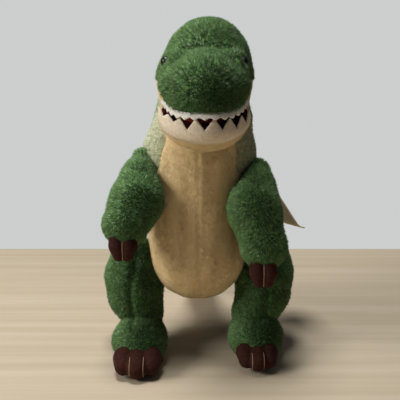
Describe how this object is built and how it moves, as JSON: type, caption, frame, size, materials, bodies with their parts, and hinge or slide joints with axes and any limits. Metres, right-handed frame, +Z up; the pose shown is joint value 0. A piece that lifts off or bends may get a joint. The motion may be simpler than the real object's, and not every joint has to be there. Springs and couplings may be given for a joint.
{
  "type": "stuffed dinosaur",
  "caption": "Upright stuffed dinosaur in long-pile plush with a cream front, felt teeth, suede claws and toes, a tail and a blank swing tag.",
  "frame": {"origin": "on the surface the toy stands on, under the middle of its bounding box", "axes": "+Z up; the toy faces -Y; +X is the toy's own left, the viewer's right from the front"},
  "size_m": [0.1978, 0.2555, 0.3201],
  "materials": {
    "green_plush": "cut pile, soft",
    "cream_plush": "short velvety pile",
    "sage_plush": "short curly pile",
    "stuffing": "loose fibre",
    "pouch_cloth": "woven",
    "label_cloth": "woven satin, blank",
    "mouth_lining": "felt",
    "tooth_felt": "felt",
    "tongue_felt": "felt",
    "eye_plastic": "gloss",
    "washer_plastic": "matte",
    "brown_suede": "suede-like",
    "stitch_thread": "spun thread",
    "tag_card": "matte, blank",
    "nylon": "clear-white"
  },
  "bodies": {
    "torso": {"belly_panel": "cream_plush", "back_panel": "green_plush", "left_side_panel": "sage_plush", "right_side_panel": "sage_plush", "torso_stuffing": "stuffing", "pellet_pouch": "pouch_cloth", "sewn_label": "label_cloth"},
    "neck": {"neck_core": "stuffing"},
    "head": {"head_cap": "green_plush", "cheek_panel": "cream_plush", "cheek_stuffing": "stuffing", "head_stuffing": "stuffing", "mouth_roof": "mouth_lining", "upper_teeth": "tooth_felt", "left_eye": "eye_plastic", "right_eye": "eye_plastic", "left_eye_washer": "washer_plastic", "right_eye_washer": "washer_plastic"},
    "jaw": {"jaw_cover": "cream_plush", "jaw_stuffing": "stuffing", "mouth_floor": "mouth_lining", "lower_teeth": "tooth_felt", "tongue": "tongue_felt"},
    "left_arm": {"left_arm_cover": "green_plush", "left_arm_stuffing": "stuffing", "left_hand_claws": "brown_suede", "left_claw_stuffing": "stuffing", "left_claw_thread": "stitch_thread"},
    "right_arm": {"right_arm_cover": "green_plush", "right_arm_stuffing": "stuffing", "right_hand_claws": "brown_suede", "right_claw_stuffing": "stuffing", "right_claw_thread": "stitch_thread"},
    "left_leg": {"left_thigh_cover": "green_plush", "left_leg_stuffing": "stuffing", "left_foot_cover": "green_plush", "left_foot_stuffing": "stuffing", "left_toe_cap": "brown_suede", "left_toe_stuffing": "stuffing", "left_toe_threads": "stitch_thread"},
    "right_leg": {"right_thigh_cover": "green_plush", "right_leg_stuffing": "stuffing", "right_foot_cover": "green_plush", "right_foot_stuffing": "stuffing", "right_toe_cap": "brown_suede", "right_toe_stuffing": "stuffing", "right_toe_threads": "stitch_thread"},
    "tail": {"tail_cover": "green_plush", "tail_underside": "cream_plush", "tail_stuffing": "stuffing"},
    "swing_tag": {"tag_card": "tag_card", "tag_loop": "nylon"}
  },
  "joints": [
    {"name": "neck_turn", "type": "hinge", "parent": "torso", "child": "neck", "pos_m": [-0.002, -0.024, 0.24], "axis": [0, 0, 1], "range_deg": [-20, 20], "stiffness_Nm_per_rad": 0.8},
    {"name": "neck_nod", "type": "hinge", "parent": "neck", "child": "head", "pos_m": [-0.002, -0.024, 0.24], "axis": [1, 0, 0], "range_deg": [-8, 8], "stiffness_Nm_per_rad": 2},
    {"name": "jaw_open", "type": "hinge", "parent": "head", "child": "jaw", "pos_m": [-0.001, -0.061, 0.24], "axis": [1, 0, 0], "range_deg": [0, 12], "stiffness_Nm_per_rad": 0.4},
    {"name": "left_shoulder", "type": "hinge", "parent": "torso", "child": "left_arm", "pos_m": [0.054, -0.036, 0.177], "axis": [-1, 0, 0], "range_deg": [0, 35], "stiffness_Nm_per_rad": 0.5},
    {"name": "right_shoulder", "type": "hinge", "parent": "torso", "child": "right_arm", "pos_m": [-0.068, -0.036, 0.185], "axis": [-1, 0, 0], "range_deg": [0, 35], "stiffness_Nm_per_rad": 0.5},
    {"name": "left_hip", "type": "hinge", "parent": "torso", "child": "left_leg", "pos_m": [0.057, -0.031, 0.08], "axis": [-1, 0, 0], "range_deg": [-3, 12], "stiffness_Nm_per_rad": 5},
    {"name": "right_hip", "type": "hinge", "parent": "torso", "child": "right_leg", "pos_m": [-0.069, -0.031, 0.074], "axis": [-1, 0, 0], "range_deg": [-3, 12], "stiffness_Nm_per_rad": 5},
    {"name": "tail_lift", "type": "hinge", "parent": "torso", "child": "tail", "pos_m": [-0.007, 0.031, 0.11], "axis": [1, 0, 0], "range_deg": [0, 15], "stiffness_Nm_per_rad": 1.5},
    {"name": "tag_swing", "type": "hinge", "parent": "torso", "child": "swing_tag", "pos_m": [0.0317, 0.0022, 0.1847], "axis": [0, -1, 0], "range_deg": [0, 35]}
  ]
}
